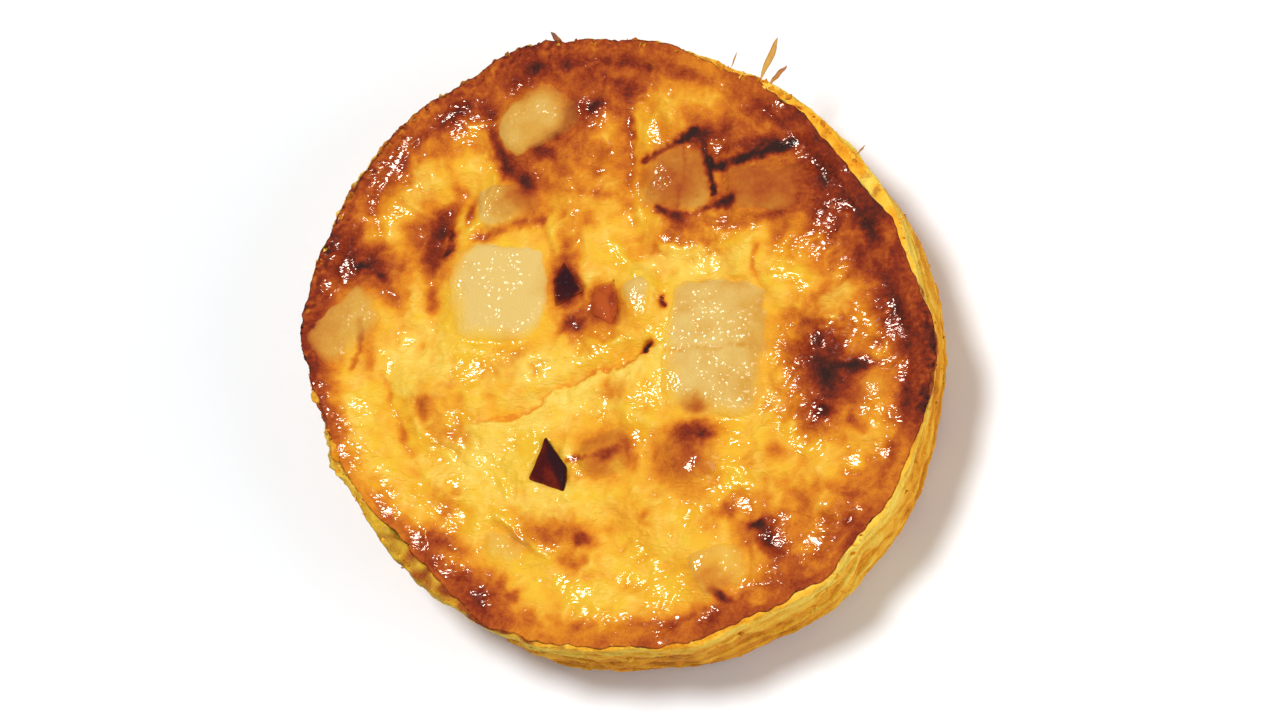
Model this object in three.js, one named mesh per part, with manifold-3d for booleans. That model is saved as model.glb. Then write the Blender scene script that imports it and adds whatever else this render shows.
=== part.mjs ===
// A small round quiche, baked in its own pastry case: a deep shortcrust case with a pleated wall,
// filled to the rim with egg custard that holds potato dice and the tips of smoked lardons.
// Millimetres, +Z up. The origin is the centre of the flat base. +X and +Y lie in the base.
import * as THREE from "three";
import { mergeVertices } from "three/addons/utils/BufferGeometryUtils.js";
import Module from "manifold-3d";

// Driving dimensions of the pastry case
const BASE_RADIUS = 59.6; // mean outer radius above the foot
const DRAFT = 1.7; // how far the wall leans out from foot to rim
const OVAL = 1.4; // how far the long radius is over the mean one
const LONG_AXIS = -41; // direction of the long radius, in degrees from +X
const HEIGHT = 32; // base to the mean top edge
const FLOOR = 4; // pastry under the filling
const WALL = 4; // pastry beside the filling
const RIM_EDGE = 1.2; // top edge of the pastry, where it is thinnest
const RIM_LEAN = 0.15; // inner side of the top edge below its outer side
const RIM_SOFT = 0.4; // how far the top edge is rounded off on its outer side
const THIN_FROM = 0.6; // share of the height where the wall starts to thin towards its top edge
const BELLY = 0.4; // how far the wall swells at half height
const FOOT_ROUND = 2.4; // how far the wall tucks in under its foot
const FOOT_TOP = 0.1; // share of the height where the foot's round ends
const SLUMP = 0.9; // how far one side of the rim has sunk
const SLUMP_AT = -45;
const SLUMP_WIDTH = 48;

// Driving dimensions of the filling
const FILL_DROP = 1.6; // mean top of the filling below the rim
const EDGE_DROP = 0.5; // filling below the rim where they meet
const EDGE_SHARE = 0.86; // share of the radius inside which the filling is free of the rim
const SWELL_REACH = 0.72; // how far the filling swells round a die, as a share of the die's length
const SWELL_RISE = 0.5; // how far it swells, as a share of the die's height above it

// Clearance between neighbours and the fineness of the facets
const GAP = 0.3;
const MERGE_WITHIN = 0.001; // points nearer than this are one point
const SIDES = 104;
const FILL_RINGS = 18;
const WALL_LEVELS = [0.05, 0.1, 0.28, 0.44, 0.52, 0.74, 0.87, 0.96]; // shares of the height
const INNER_LEVELS = [0.125, 0.62, 0.86]; // the first is the floor

// Uneven stretches of the pastry, each with its direction and half width in degrees and how far it
// stands out. Pleats run up the whole wall and fade towards the foot.
const PLEATS = [
  { at: -8, width: 5, out: -0.5 },
  { at: -30, width: 6, out: 0.8 },
  { at: -41, width: 4, out: -0.9 },
  { at: -48, width: 4.5, out: 0.8 },
  { at: -63, width: 6, out: -0.9 },
  { at: -74, width: 5, out: 0.5 },
  { at: -86, width: 5, out: -0.8 },
  { at: -106, width: 12, out: 0.8 },
  { at: -127, width: 6, out: 0.5 },
  { at: -150, width: 7, out: -0.6 },
  { at: -166, width: 6, out: -0.8 },
  { at: 177, width: 5, out: 1.1 },
  { at: 170, width: 14, out: 0.9 },
  { at: 120, width: 4, out: -1 },
  { at: 108, width: 6, out: 1.2 },
  { at: 68, width: 9, out: -0.9 },
  { at: 24, width: 9, out: 0.8 },
];
const PLEAT_AT_FOOT = 0.35; // share of a pleat that is left at the foot
// Stretches where the top edge is baked outwards over the wall
const FLARES = [
  { at: -42, width: 30, out: 1.2 },
  { at: -3, width: 10, out: 2.8 },
  { at: -19, width: 8, out: 0.9 },
];
const FLARE_FROM = 0.74; // share of the height where a flare starts
// Stretches where a second layer of pastry laps the lower wall
const LAPS = [
  { at: 14, width: 18, out: 1.2 },
  { at: -50, width: 26, out: 0.7 },
  { at: -100, width: 16, out: 1 },
  { at: 200, width: 24, out: 0.8 },
  { at: 100, width: 22, out: 0.9 },
];
const LAP_TOP = 0.52; // share of the height where a lap ends
const LAP_STEP = 0.08;
// Stretches where the top edge is broad and bare
const RIM_FOLDS = [
  { at: 36, width: 18, out: 1.9 },
  { at: 8, width: 9, out: 0.9 },
  { at: -132, width: 20, out: 2.3 },
  { at: -60, width: 38, out: 0.5 },
  { at: -98, width: 12, out: 0.7 },
];
// Slow rise and fall of the top edge: how many waves go round it, their turn in degrees and their height
const RIM_WAVES = [
  { count: 4, turn: 45, rise: 0.45 },
  { count: 11, turn: 0, rise: 0.3 },
];
// Crumbled top edge: how many teeth go round it, and how far they rise and stand out
const TEETH = [
  { count: 31, turn: 20, rise: 0.22, out: 0.2 },
  { count: 43, turn: 250, rise: 0.18, out: 0.24 },
];

// Swellings and hollows of the filling: place, radius and height
const MOUNDS = [
  { x: -47.5, y: 27.5, radius: 5.5, rise: 1.5 },
  { x: -40, y: 36, radius: 6, rise: 0.9 },
  { x: 7.5, y: -36, radius: 6, rise: 1.2 },
  { x: 45, y: 8, radius: 9, rise: 0.9 },
  { x: 41, y: -3, radius: 8, rise: 1.4 },
  { x: -33, y: -12, radius: 9, rise: 1.1 },
  { x: 34, y: -28, radius: 11, rise: 1 },
  { x: -9, y: -38, radius: 9, rise: 0.9 },
  { x: 14, y: 49, radius: 7, rise: 1.1 },
  { x: 25, y: 17, radius: 7, rise: 1 },
  { x: -6, y: 30, radius: 6, rise: 0.8 },
  { x: -47, y: -14, radius: 6, rise: 0.8 },
];
// Furrows of the filling: a line of points, with its depth and half width
const FURROWS = [
  { depth: 1.5, width: 2.6, line: [[-32.5, 30], [-35, 21], [-36.5, 15], [-36.8, 8]] },
  { depth: 1.3, width: 2.2, line: [[-46.5, -4], [-44.8, -9], [-42.8, -17], [-39.8, -25]] },
  { depth: 1.5, width: 2.4, line: [[1.4, 46], [2.2, 25], [6, 16], [9, 12]] },
  { depth: 1.2, width: 1.8, line: [[-24, -15], [-16.5, -13.5], [-13.5, -10.5], [-8, -7.5], [7, -1]] },
  { depth: 1, width: 2.2, line: [[-14, -46], [-6, -44], [2, -47]] },
  { depth: 1, width: 2.4, line: [[36, 21], [40, 13], [36, 6]] },
];
// Low unevenness of the whole filling: wavelength, direction, phase and height of each wave
const WAVES = [
  { length: 31, turn: 20, phase: 0.4, rise: 0.42 },
  { length: 23, turn: 100, phase: 2.1, rise: 0.36 },
  { length: 17, turn: 62, phase: 4.4, rise: 0.3 },
  { length: 12.5, turn: 148, phase: 1.2, rise: 0.2 },
];

// Potato dice: place, size, turn about Z, lean about X and Y, height above the filling, squareness of
// the corners (2 is round) and how much one end is narrower than the other
const POTATO = [
  { x: -16.6, y: 45.2, size: [17.5, 13, 10], turn: 26, lean: [-6, 8], proud: 1.5, square: 3, taper: -0.08 },
  { x: -21.9, y: 28.2, size: [9.4, 14, 10], turn: -78, lean: [-9, 0], proud: 1.6, square: 4, taper: -0.26 },
  { x: -23.6, y: 10.7, size: [20.4, 20.8, 9], turn: -4, lean: [3, 0], proud: 1, square: 4.6, taper: 0.04 },
  { x: -54.4, y: 4.2, size: [17, 11, 8], turn: 47, lean: [0, -6], proud: 1.1, square: 5, taper: 0.1 },
  { x: 20.2, y: -1.3, size: [21.6, 28.4, 9], turn: -4, lean: [0, 0], proud: 0.8, square: 5, taper: -0.05 },
  { x: 11.6, y: 33, size: [14, 14, 11], turn: -9, lean: [3, -9], proud: 1.6, square: 5, taper: -0.12 },
  { x: 29.6, y: 30.2, size: [15.5, 10, 10], turn: 5, lean: [8, 3], proud: 1.5, square: 6, taper: 0.06 },
  { x: -1.3, y: -22, size: [11, 9, 9], turn: 17, lean: [38, 0], proud: 1.4, square: 4.6, taper: 0 },
  { x: 16, y: -22.6, size: [10.5, 10.5, 9], turn: 12, lean: [-10, 0], proud: 1.3, square: 2.8, taper: 0 },
  { x: 4.8, y: 8.8, size: [6.8, 9.8, 8], turn: 8, lean: [0, 5], proud: 1, square: 2.9, taper: 0.08 },
  { x: 22, y: -44.6, size: [12.5, 10, 8], turn: 20, lean: [8, 6], proud: 0.9, square: 3.4, taper: 0.1 },
  { x: -21.3, y: -39.8, size: [9.5, 7, 7], turn: -24, lean: [10, -8], proud: 0.7, square: 4, taper: 0.2 },
  { x: 50.8, y: -9.4, size: [9, 6, 6], turn: 4, lean: [0, -4], proud: 0.6, square: 3.4, taper: 0 },
];
const POTATO_FACETS = [4, 4, 3];

// Lardons, thin shards of which only the tip shows. Each has its place, how far the filling swells round
// it, and its corners, measured from the place, each with its height above the filling.
const LARDON = [
  {
    x: -10, y: 12, reach: 5, proud: 1,
    corners: [[-0.4, 4.7, 0.5], [3.4, -1, 0.3], [-2.1, -4.3, 0.2], [-2.5, 0.8, 1.2]],
  },
  {
    x: -2, y: 8.4, reach: 5, proud: 0.9,
    corners: [
      [-2.4, 3.1, 0.4], [2, 4.8, 0.6], [2.5, -1.4, 0.3], [1.4, -4.6, 0.1], [-3.2, -2, 0.2], [0.5, 0.6, 1.1],
    ],
  },
  {
    x: -12.4, y: -24.4, reach: 6, proud: 1.2,
    corners: [[-0.6, 6, 0.7], [-4, -2.3, 0.3], [3.2, -4.8, 0.2], [3.5, 0.3, 0.4], [0.6, 0.7, 2.1]],
  },
];
const SHARD_DEPTH = 7; // how far a shard reaches below the filling
const SHARD_TAPER = 0.7; // how much narrower it is at that depth
const SHARD_GAP = 0.6; // clearance at a shard's corners, which leaves the usual gap along its sides

// Dry blades of herb baked into the rim: direction, length, width, and turn out of the radius and up
const HERB_BLADES = [
  { at: 61.5, length: 10, width: 1.4, turn: 4, lift: 14 },
  { at: 60, length: 6.2, width: 1, turn: -16, lift: 10 },
  { at: 100.5, length: 4.6, width: 1.1, turn: 30, lift: 24 },
];
const BLADE_ROOT = 0.9; // how deep each blade is set into the pastry
const BLADE_THICKNESS = 0.6;
const BLADE_BELOW_RIM = 0.9;
const BLADE_WIDEST = 0.55; // share of the length where a blade is widest
const BLADE_FOOT = 0.5; // width of its root, as a share of its greatest width

const PASTRY_COLOUR = 0xdca032;
const CUSTARD_COLOUR = 0xf0b42c;
const POTATO_COLOUR = 0xe4c070;
const LARDON_COLOUR = 0x5c2014;
const PASTRY_ROUGHNESS = 0.75;
const CUSTARD_ROUGHNESS = 0.3;
const DICE_ROUGHNESS = 0.35;

const wasm = await Module();
wasm.setup();

const radians = THREE.MathUtils.degToRad;
const smooth = THREE.MathUtils.smoothstep;
const mix = THREE.MathUtils.lerp;

// A bell of height 1 round a direction, both angles in degrees.
function bell(angle, at, width) {
  const apart = THREE.MathUtils.euclideanModulo(angle - at + 180, 360) - 180;
  return Math.exp(-((apart / width) ** 2));
}

// How far a list of uneven stretches stands out at a direction.
function unevenness(stretches, angle) {
  return stretches.reduce((sum, s) => sum + s.out * bell(angle, s.at, s.width), 0);
}

// How far waves or teeth of the top edge reach at a direction, up ("rise") or outwards ("out").
function waviness(waves, angle, reach) {
  return waves.reduce((sum, w) => sum + w[reach] * Math.sin(radians(w.count * angle + w.turn)), 0);
}

// Outer radius of the pastry at a direction, in degrees, and a share of its height.
function outerRadius(angle, share) {
  const oval = OVAL * Math.cos(radians(2 * (angle - LONG_AXIS)));
  const belly = BELLY * Math.sin(Math.PI * share);
  const foot = FOOT_ROUND * (1 - smooth(share, 0, FOOT_TOP)) ** 2;
  const pleats = unevenness(PLEATS, angle) * mix(PLEAT_AT_FOOT, 1, share);
  const laps = unevenness(LAPS, angle) * (1 - smooth(share, LAP_TOP - LAP_STEP, LAP_TOP));
  const flares = unevenness(FLARES, angle) * smooth(share, FLARE_FROM, 1);
  return BASE_RADIUS + DRAFT * share + oval + belly - foot + pleats + laps + flares;
}

// Height of the pastry's top edge at a direction.
function rimHeight(angle) {
  return HEIGHT + waviness(RIM_WAVES, angle, "rise") - SLUMP * bell(angle, SLUMP_AT, SLUMP_WIDTH);
}

// Inner radius of the pastry: the wall thins towards its top edge.
function innerRadius(angle, share) {
  const edge = RIM_EDGE + unevenness(RIM_FOLDS, angle);
  return outerRadius(angle, share) - mix(WALL, edge, smooth(share, THIN_FROM, 1));
}

// Distance from a point to a line of points.
function distanceToLine(x, y, line) {
  const point = new THREE.Vector2(x, y);
  let nearest = Infinity;
  for (let i = 1; i < line.length; i++) {
    const start = new THREE.Vector2(...line[i - 1]);
    const along = new THREE.Vector2(...line[i]).sub(start);
    const t = THREE.MathUtils.clamp(point.clone().sub(start).dot(along) / along.lengthSq(), 0, 1);
    nearest = Math.min(nearest, point.distanceTo(start.addScaledVector(along, t)));
  }
  return nearest;
}

// Height of the filling's free surface, away from the rim.
function fillSurface(x, y) {
  let z = HEIGHT - FILL_DROP;
  for (const w of WAVES) {
    const along = x * Math.cos(radians(w.turn)) + y * Math.sin(radians(w.turn));
    z += w.rise * Math.sin((2 * Math.PI * along) / w.length + w.phase);
  }
  const swell = (p, reach) => Math.exp(-((x - p.x) ** 2 + (y - p.y) ** 2) / reach ** 2);
  for (const m of MOUNDS) z += m.rise * swell(m, m.radius);
  for (const p of POTATO) z += SWELL_RISE * p.proud * swell(p, SWELL_REACH * Math.max(p.size[0], p.size[1]));
  for (const p of LARDON) z += SWELL_RISE * p.proud * swell(p, p.reach);
  for (const f of FURROWS) z -= f.depth * Math.exp(-((distanceToLine(x, y, f.line) / f.width) ** 2));
  return z;
}

// A ring of points round the axis, from a radius and a height for each direction.
function ring(radiusAt, heightAt) {
  return Array.from({ length: SIDES }, (_, i) => {
    const angle = (360 * i) / SIDES;
    const r = radiusAt(angle);
    const [x, y] = [r * Math.cos(radians(angle)), r * Math.sin(radians(angle))];
    return new THREE.Vector3(x, y, heightAt(angle, r));
  });
}

// A closed skin through rings, from a first pole to a last one. Rings that start at the bottom,
// go outwards and come back over the top leave the faces pointing out.
function skin(firstPole, rings, lastPole) {
  const points = [firstPole, ...rings.flat(), lastPole];
  const at = (row, i) => 1 + row * SIDES + (i % SIDES);
  const faces = [];
  for (let i = 0; i < SIDES; i++) {
    faces.push(0, at(0, i + 1), at(0, i));
    for (let row = 1; row < rings.length; row++) {
      faces.push(at(row - 1, i), at(row - 1, i + 1), at(row, i + 1));
      faces.push(at(row - 1, i), at(row, i + 1), at(row, i));
    }
    faces.push(points.length - 1, at(rings.length - 1, i), at(rings.length - 1, i + 1));
  }
  return new THREE.BufferGeometry().setFromPoints(points).setIndex(faces);
}

// The pastry case: base, outer wall, top edge, inner wall and the floor that carries the filling.
function pastryGeometry() {
  const foot = ring((a) => outerRadius(a, 0), () => 0);
  const outer = WALL_LEVELS.map((s) => ring((a) => outerRadius(a, s), (a) => s * rimHeight(a)));
  const rimOuter = ring(
    (a) => outerRadius(a, 1) - RIM_SOFT + waviness(TEETH, a, "out"),
    (a) => rimHeight(a) + waviness(TEETH, a, "rise"),
  );
  const rimInner = ring((a) => innerRadius(a, 1), (a) => rimHeight(a) - RIM_LEAN);
  const inner = INNER_LEVELS.map((s) => ring((a) => innerRadius(a, s), (a) => innerLevel(s, a)));
  const rings = [foot, ...outer, rimOuter, rimInner, ...inner.reverse()];
  return skin(new THREE.Vector3(0, 0, 0), rings, new THREE.Vector3(0, 0, FLOOR));
}

// Height of an inner level: the lowest is the flat floor, and the others follow the rim.
function innerLevel(share, angle) {
  return share === INNER_LEVELS[0] ? FLOOR : share * rimHeight(angle);
}

// The filling: it stands on the floor, follows the inner wall and ends in an uneven top.
function custardGeometry() {
  const side = INNER_LEVELS.map((s, i) =>
    ring((a) => innerRadius(a, s) - GAP, (a) => (i === 0 ? FLOOR + GAP : innerLevel(s, a))),
  );
  const last = INNER_LEVELS.at(-1);
  const edgeHeight = (a) => rimHeight(a) - EDGE_DROP;
  const edgeRadius = (a) => {
    const below = innerLevel(last, a);
    const share = (edgeHeight(a) - below) / (rimHeight(a) - RIM_LEAN - below);
    return mix(innerRadius(a, last), innerRadius(a, 1), share) - GAP;
  };
  const topHeight = (a, r, share) => {
    const free = fillSurface(r * Math.cos(radians(a)), r * Math.sin(radians(a)));
    return mix(free, edgeHeight(a), smooth(share, EDGE_SHARE, 1));
  };
  const top = Array.from({ length: FILL_RINGS }, (_, i) => {
    const share = 1 - i / FILL_RINGS;
    return ring((a) => share * edgeRadius(a), (a, r) => topHeight(a, r, share));
  });
  const bottom = new THREE.Vector3(0, 0, FLOOR + GAP);
  return skin(bottom, [...side, ...top], new THREE.Vector3(0, 0, fillSurface(0, 0)));
}

// A die with soft corners: a box drawn towards a superellipsoid, one end narrower than the other.
function dieGeometry(piece, grow = 0) {
  const size = piece.size.map((s) => s / 2 + grow);
  const box = new THREE.BoxGeometry(2, 2, 2, ...POTATO_FACETS);
  const position = box.getAttribute("position");
  const corner = new THREE.Vector3();
  for (let i = 0; i < position.count; i++) {
    corner.fromBufferAttribute(position, i);
    const powers = corner.toArray().map((v) => Math.abs(v) ** piece.square);
    corner.divideScalar((powers[0] + powers[1] + powers[2]) ** (1 / piece.square));
    const narrowed = 1 + piece.taper * corner.y;
    position.setXYZ(i, size[0] * corner.x * narrowed, size[1] * corner.y, size[2] * corner.z);
  }
  return box;
}

// A die as a mesh, leant and turned, with its top the stated height above the filling.
function dieMesh(name, piece) {
  const mesh = foodMesh(name, dieGeometry(piece), POTATO_COLOUR, DICE_ROUGHNESS);
  mesh.rotation.set(radians(piece.lean[0]), radians(piece.lean[1]), radians(piece.turn), "ZYX");
  mesh.updateMatrix();
  const top = new THREE.Box3().setFromBufferAttribute(
    mesh.geometry.getAttribute("position").clone().applyMatrix4(mesh.matrix),
  ).max.z;
  mesh.position.set(piece.x, piece.y, fillSurface(piece.x, piece.y) + piece.proud - top);
  mesh.updateMatrix();
  return mesh;
}

// A shard of lardon: the hull of its corners and of a narrower copy of them deep in the filling.
function shardSolid(shard, grow = 0) {
  const ground = fillSurface(shard.x, shard.y);
  const points = shard.corners.flatMap(([x, y, rise]) => {
    const wider = 1 + grow / Math.hypot(x, y);
    const narrow = wider * SHARD_TAPER;
    return [
      [shard.x + wider * x, shard.y + wider * y, ground + rise + grow],
      [shard.x + narrow * x, shard.y + narrow * y, ground - SHARD_DEPTH - grow],
    ];
  });
  return wasm.Manifold.hull(points);
}

// A blade of herb: a flat lens-shaped leaf that lies along a radius of the rim.
function bladeGeometry(blade) {
  const half = blade.width / 2;
  const outline = new THREE.Shape();
  outline.moveTo(0, -half * BLADE_FOOT);
  outline.lineTo(blade.length * BLADE_WIDEST, -half);
  outline.lineTo(blade.length, 0);
  outline.lineTo(blade.length * BLADE_WIDEST, half);
  outline.lineTo(0, half * BLADE_FOOT);
  const leaf = new THREE.ExtrudeGeometry(outline, { depth: BLADE_THICKNESS, bevelEnabled: false });
  leaf.rotateY(-radians(blade.lift)).rotateZ(radians(blade.at + blade.turn));
  const root = outerRadius(blade.at, 1) - BLADE_ROOT;
  const below = rimHeight(blade.at) - BLADE_BELOW_RIM - BLADE_THICKNESS;
  return leaf.translate(root * Math.cos(radians(blade.at)), root * Math.sin(radians(blade.at)), below);
}

// A geometry as a solid that can be joined and cut.
function solidOf(geometry) {
  const bare = geometry.clone();
  bare.deleteAttribute("normal");
  bare.deleteAttribute("uv");
  const merged = mergeVertices(bare, MERGE_WITHIN);
  const vertProperties = merged.getAttribute("position").array;
  const triVerts = new Uint32Array(merged.index.array);
  return new wasm.Manifold(new wasm.Mesh({ numProp: 3, vertProperties, triVerts }));
}

// The largest body of a solid as a geometry, without the loose scraps that a cut leaves.
function geometryOf(solid) {
  const largest = solid.decompose().reduce((a, b) => (b.volume() > a.volume() ? b : a));
  const mesh = largest.getMesh();
  const geometry = new THREE.BufferGeometry();
  geometry.setAttribute("position", new THREE.BufferAttribute(mesh.vertProperties, 3));
  geometry.setIndex(new THREE.BufferAttribute(mesh.triVerts, 1));
  geometry.computeVertexNormals();
  return geometry;
}

// A named mesh of a food.
function foodMesh(name, geometry, colour, roughness) {
  const finish = new THREE.MeshStandardMaterial({ color: colour, roughness, metalness: 0 });
  const mesh = new THREE.Mesh(geometry, finish);
  mesh.name = name;
  return mesh;
}

const potatoMeshes = POTATO.map((p, i) => dieMesh(`potato_${i + 1}`, p));
const lardonMeshes = LARDON.map((p, i) =>
  foodMesh(`lardon_${i + 1}`, geometryOf(shardSolid(p)), LARDON_COLOUR, DICE_ROUGHNESS),
);

// Every piece leaves its own socket in the filling, and in the pastry where it reaches the wall.
const sockets = [
  ...POTATO.map((p, i) => solidOf(dieGeometry(p, GAP).applyMatrix4(potatoMeshes[i].matrix))),
  ...LARDON.map((p) => shardSolid(p, SHARD_GAP)),
];
const cutSockets = (solid) => sockets.reduce((left, socket) => left.subtract(socket), solid);
const blades = HERB_BLADES.map((b) => solidOf(bladeGeometry(b)));
const bladedPastry = blades.reduce((joined, blade) => joined.add(blade), solidOf(pastryGeometry()));

const quiche = new THREE.Group();
quiche.name = "quiche";
const crust = geometryOf(cutSockets(bladedPastry));
const custard = geometryOf(cutSockets(solidOf(custardGeometry())));
quiche.add(foodMesh("crust", crust, PASTRY_COLOUR, PASTRY_ROUGHNESS));
quiche.add(foodMesh("custard", custard, CUSTARD_COLOUR, CUSTARD_ROUGHNESS));
quiche.add(...potatoMeshes, ...lardonMeshes);

export default quiche;
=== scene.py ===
import math

import bpy
import numpy as np
from mathutils import Matrix, Vector, noise
from mathutils.bvhtree import BVHTree


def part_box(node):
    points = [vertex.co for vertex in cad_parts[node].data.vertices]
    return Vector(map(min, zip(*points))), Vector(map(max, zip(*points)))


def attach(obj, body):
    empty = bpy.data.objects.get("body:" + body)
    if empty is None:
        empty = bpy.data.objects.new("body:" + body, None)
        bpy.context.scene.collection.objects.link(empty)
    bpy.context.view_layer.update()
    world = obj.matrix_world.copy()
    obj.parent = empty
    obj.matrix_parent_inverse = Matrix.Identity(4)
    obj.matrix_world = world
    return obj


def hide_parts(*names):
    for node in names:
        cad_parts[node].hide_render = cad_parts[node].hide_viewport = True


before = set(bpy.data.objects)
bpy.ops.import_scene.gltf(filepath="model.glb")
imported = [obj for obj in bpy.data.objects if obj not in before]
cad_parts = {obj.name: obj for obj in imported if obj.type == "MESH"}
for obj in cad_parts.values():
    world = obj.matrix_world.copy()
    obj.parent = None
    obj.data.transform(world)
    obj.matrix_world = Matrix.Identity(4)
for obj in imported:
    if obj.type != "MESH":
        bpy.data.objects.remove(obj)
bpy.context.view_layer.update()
bpy.ops.object.select_all(action="DESELECT")


# The view and its light: a camera high above the quiche and tilted a little off the vertical, one bright
# soft light from behind on the left, light from all round, and a plain white floor.
MM = 0.001
VIEW_TILT = math.radians(17)
VIEW_TOWARDS = math.radians(-41)
VIEW_AIM = Vector((5.5, -3.5, 32)) * MM
VIEW_REACH = 1300 * MM
LENS = 187.6
# Each light: direction and tilt off the vertical in degrees, distance, width and power.
LAMPS = ((136, 9.6, 1.8, 0.36, 24), (-12, 56, 1.1, 0.9, 4))
ROOM_LIGHT = 0.27
ROOM_TINT = (1, 0.99, 0.97, 1)
FLOOR_HALF = 2.5

lean = Vector((math.cos(VIEW_TOWARDS), math.sin(VIEW_TOWARDS), 0))
across = Vector((-lean.y, lean.x, 0))
back = lean * math.sin(VIEW_TILT) + Vector((0, 0, math.cos(VIEW_TILT)))
forth = lean * math.cos(VIEW_TILT) - Vector((0, 0, math.sin(VIEW_TILT)))
right = forth * math.cos(VIEW_TOWARDS) - across * math.sin(VIEW_TOWARDS)
up = forth * math.sin(VIEW_TOWARDS) + across * math.cos(VIEW_TOWARDS)
bpy.ops.object.camera_add(location=VIEW_AIM + back * VIEW_REACH)
camera = bpy.context.object
camera.rotation_euler = Matrix((right, up, back)).transposed().to_euler()
camera.data.lens = LENS
camera.data.clip_end = 20
bpy.context.scene.camera = camera
bpy.context.scene.view_settings.view_transform = "Standard"

for turn, tilt, reach, width, power in LAMPS:
    turn, tilt = math.radians(turn), math.radians(tilt)
    way = Vector((math.sin(tilt) * math.cos(turn), math.sin(tilt) * math.sin(turn), math.cos(tilt)))
    bpy.ops.object.light_add(type="AREA", location=way * reach)
    lamp = bpy.context.object
    lamp.rotation_euler = way.to_track_quat("Z", "Y").to_euler()
    lamp.data.shape = "DISK"
    lamp.data.size = width
    lamp.data.energy = power
room = bpy.data.worlds.new("room")
room.use_nodes = True
room.node_tree.nodes["Background"].inputs["Color"].default_value = ROOM_TINT
room.node_tree.nodes["Background"].inputs["Strength"].default_value = ROOM_LIGHT
bpy.context.scene.world = room


class Tint:
    """A socket of a finish's nodes, so that shader maths is written as an expression."""

    def __init__(self, nodes, socket):
        self.nodes = nodes
        self.socket = socket

    def node(self, kind, settings, inputs, output=0):
        """Adds a node of a kind, with its settings and the values or links of its sockets."""
        made = self.nodes.new(kind)
        for name, value in settings.items():
            if name == "stops":
                ramp = made.color_ramp.elements
                ramp.remove(ramp[1])
                for place, colour in value:
                    stop = ramp.new(place) if place else ramp[0]
                    stop.color = (*colour, 1)
            else:
                setattr(made, name, value)
        for name, value in inputs.items():
            if isinstance(value, Tint):
                self.nodes.id_data.links.new(value.socket, made.inputs[name])
            else:
                made.inputs[name].default_value = value
        return Tint(self.nodes, made.outputs[output])

    def maths(self, operation, first, second):
        return self.node("ShaderNodeMath", {"operation": operation}, {0: first, 1: second})

    def __add__(self, other):
        return self.maths("ADD", self, other)

    def __radd__(self, other):
        return self.maths("ADD", other, self)

    def __sub__(self, other):
        return self.maths("SUBTRACT", self, other)

    def __rsub__(self, other):
        return self.maths("SUBTRACT", other, self)

    def __mul__(self, other):
        return self.maths("MULTIPLY", self, other)

    def __rmul__(self, other):
        return self.maths("MULTIPLY", other, self)

    def specks(self, size, detail=2, bend=0):
        """Noise on this place, in lumps of a size in millimetres."""
        return self.node("ShaderNodeTexNoise", {},
                         {"Vector": self, "Scale": 1 / (size * MM), "Detail": detail, "Distortion": bend})

    def kept(self, name):
        """The value that was kept at each point of the piece under a name."""
        return self.node("ShaderNodeAttribute", {"attribute_name": name}, {}, "Fac")

    def ramp(self, *stops):
        return self.node("ShaderNodeValToRGB", {"stops": stops}, {"Fac": self})

    def mix(self, under, over):
        """The colour under, changed to the colour over by this share."""
        under, over = (c if isinstance(c, Tint) else (*c, 1) for c in (under, over))
        return self.node("ShaderNodeMix", {"data_type": "RGBA"}, {0: self, 6: under, 7: over}, 2)

    def between(self, low, high):
        """This value's share of the way from low to high, kept within 0 and 1."""
        return self.node("ShaderNodeMapRange", {}, {"Value": self, "From Min": low, "From Max": high})

    def relief(self, height):
        """The normal of a surface with this height in metres."""
        return self.node("ShaderNodeBump", {}, {"Height": self, "Distance": height, "Strength": 1.0})

    def feed(self, shader, socket):
        self.nodes.id_data.links.new(self.socket, shader.inputs[socket])


def new_finish(name):
    """A new material, its shader and the place on the piece, from which its pattern is made."""
    material = bpy.data.materials.new(name)
    material.use_nodes = True
    nodes = material.node_tree.nodes
    place = nodes.new("ShaderNodeTexCoord").outputs["Object"]
    return material, nodes["Principled BSDF"], Tint(nodes, place)


bpy.ops.mesh.primitive_plane_add(size=2 * FLOOR_HALF, location=(0, 0, -0.05 * MM))
floor = bpy.context.object
floor.name = "floor"
bpy.ops.object.transform_apply(location=True)
floor_white, shader, place = new_finish("floor_white")
place.specks(90).ramp((0, (0.89, 0.93, 0.97)), (1, (0.92, 0.955, 0.99))).feed(shader, "Base Color")
shader.inputs["Roughness"].default_value = 0.9
floor.data.materials.append(floor_white)


# The pastry case: a round of shortcrust pressed into a small tin and baked, with a flat base, a wall with
# laps, pleats and crumbled layers, and a thin ragged lip. It is one piece, rolled up from a flat grid of
# rows from the middle of the base out, up the wall, over the lip and down again inside.
CASE_STEPS = 960
WALL_ROWS = 80
LIP_ROWS = 6
BASE_SHARES = (0, 0.35, 0.7, 0.9, 0.985)
INSIDE = ((1.2, 0), (6, 1.1), (14, 2.6), (27.6, 4.6))
FLOOR_TOP = 4.2
# Where the solids are felt for: from far above, from outside the wall and from within the lip, and how far.
ABOVE = 60
OUTSIDE = 75
WITHIN = 45
FELT = 25
# The radii between which the lip's top lies, and how many neighbours on each side even out a reading.
LIP_SEARCH = np.arange(57.5, 64.5, 0.5)
EVENED = 7
# How close points are when they are one and the same.
SAME_POINT = 0.001 * MM
# How rough a dry surface is, and the tint of the light that the buttery ones throw back.
DULL = 0.95
BUTTERY = (1, 0.86, 0.74, 1)
# Layers of the dough that lap each other up the wall: how many there are, and how far each stands out.
LAYERS = 4
LAYER_STEP = 0.6


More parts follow.
